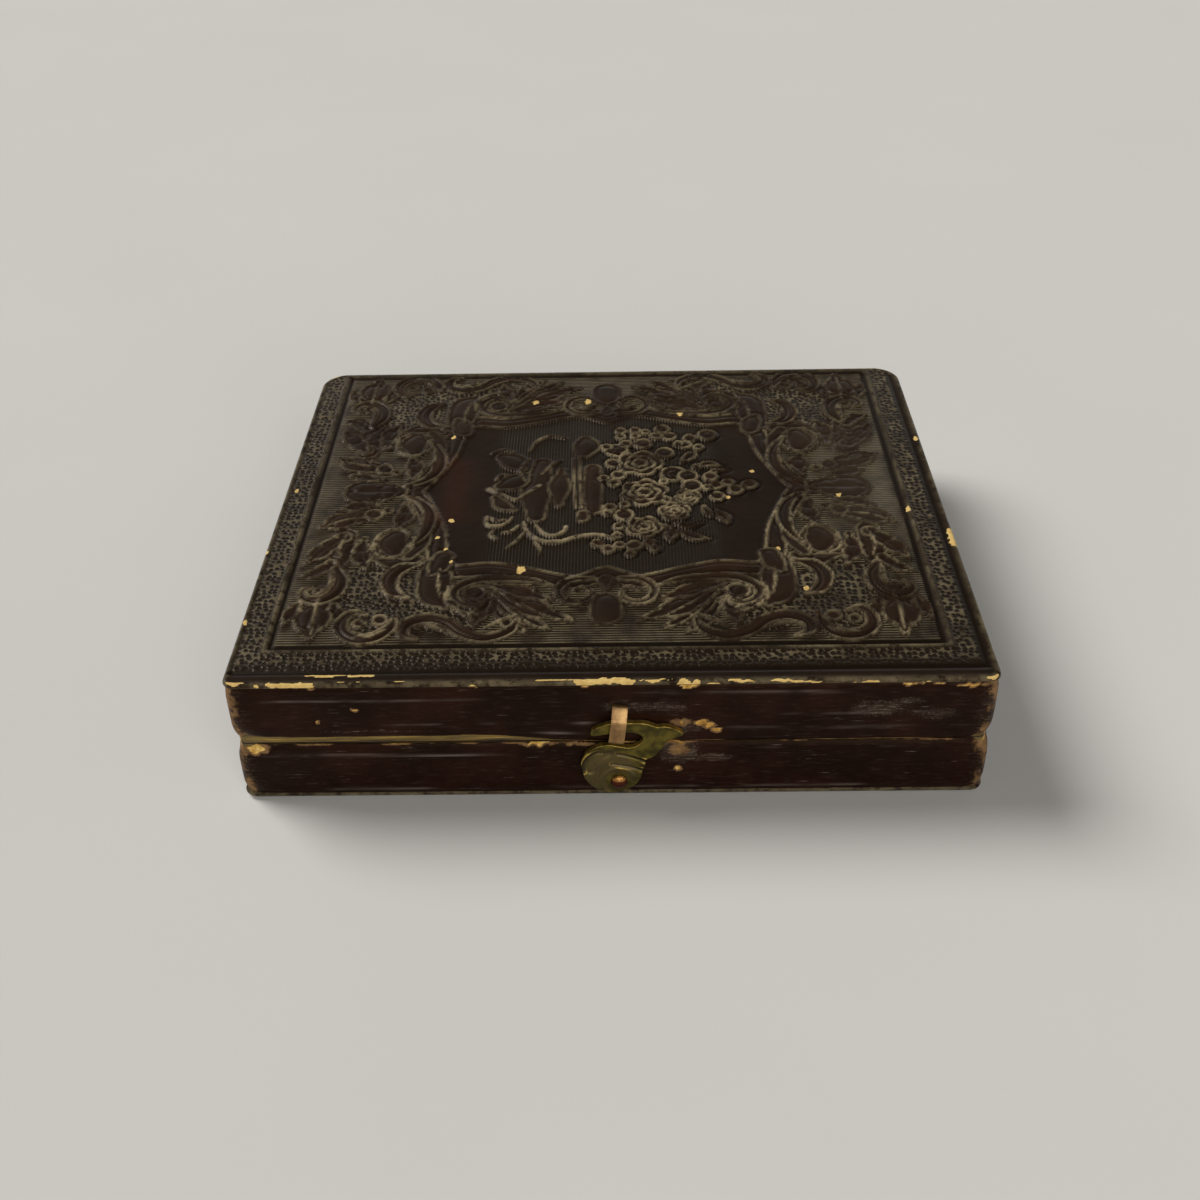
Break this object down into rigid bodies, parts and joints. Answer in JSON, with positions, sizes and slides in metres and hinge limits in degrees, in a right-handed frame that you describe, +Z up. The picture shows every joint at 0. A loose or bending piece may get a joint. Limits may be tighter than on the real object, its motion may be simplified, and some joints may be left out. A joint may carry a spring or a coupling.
{
  "type": "hinged photograph case",
  "caption": "Flat book-form case for a plate photograph: leather over a wooden frame with stamped covers, a leather spine hinge, a velvet pad in the lid and a turning brass hook in front.",
  "frame": {"origin": "middle of the underside, on the plane that the case lies on", "axes": "+X to the right along the long side, with the hook facing the viewer; +Y towards the spine; +Z up through the lid"},
  "size_m": [0.095, 0.0834, 0.0193],
  "materials": {
    "wood": "plain soft wood",
    "cover_leather": "embossed, polished and worn",
    "edge_leather": "smooth, glossy, worn at the edges",
    "hinge_leather": "thin and creased",
    "card": "grey-brown pasteboard",
    "paper": "aged paper",
    "velvet": "cut pile velvet",
    "plate_silver": "polished silver, lightly tarnished",
    "mat_brass": "fine pebbled",
    "glass": "clear, slightly wavy",
    "thin_brass": "thin stamped sheet",
    "hook_brass": "aged olive-brown brass with bright edges",
    "keeper_brass": "rubbed strip",
    "pin_copper": "domed head, rubbed"
  },
  "bodies": {
    "tray": {"base_board": "wood", "base_front_rail": "wood", "base_back_rail": "wood", "base_left_rail": "wood", "base_right_rail": "wood", "base_bottom_leather": "cover_leather", "base_edge_leather": "edge_leather", "spine_leather_base": "edge_leather", "inner_hinge_base": "hinge_leather", "floor_lining": "paper", "packing_card": "card", "velvet_retainer": "velvet", "image_plate": "plate_silver", "brass_mat": "mat_brass", "cover_glass": "glass", "binding_tape": "paper", "preserver": "thin_brass", "hook_pin": "pin_copper"},
    "lid": {"lid_board": "wood", "lid_front_rail": "wood", "lid_back_rail": "wood", "lid_left_rail": "wood", "lid_right_rail": "wood", "lid_top_leather": "cover_leather", "lid_edge_leather": "edge_leather", "spine_leather_lid": "edge_leather", "inner_hinge_lid": "hinge_leather", "pad_card": "card", "velvet_pad": "velvet", "keeper": "keeper_brass"},
    "hook": {"hook": "hook_brass"}
  },
  "joints": [
    {"name": "lid_swing", "type": "hinge", "parent": "tray", "child": "lid", "pos_m": [0, 0.0409, 0.00915], "axis": [-1, 0, 0], "range_deg": [0, 180]},
    {"name": "hook_turn", "type": "hinge", "parent": "tray", "child": "hook", "pos_m": [0.0009, -0.0413, 0.0035], "axis": [0, 1, 0], "range_deg": [-6, 60]}
  ]
}
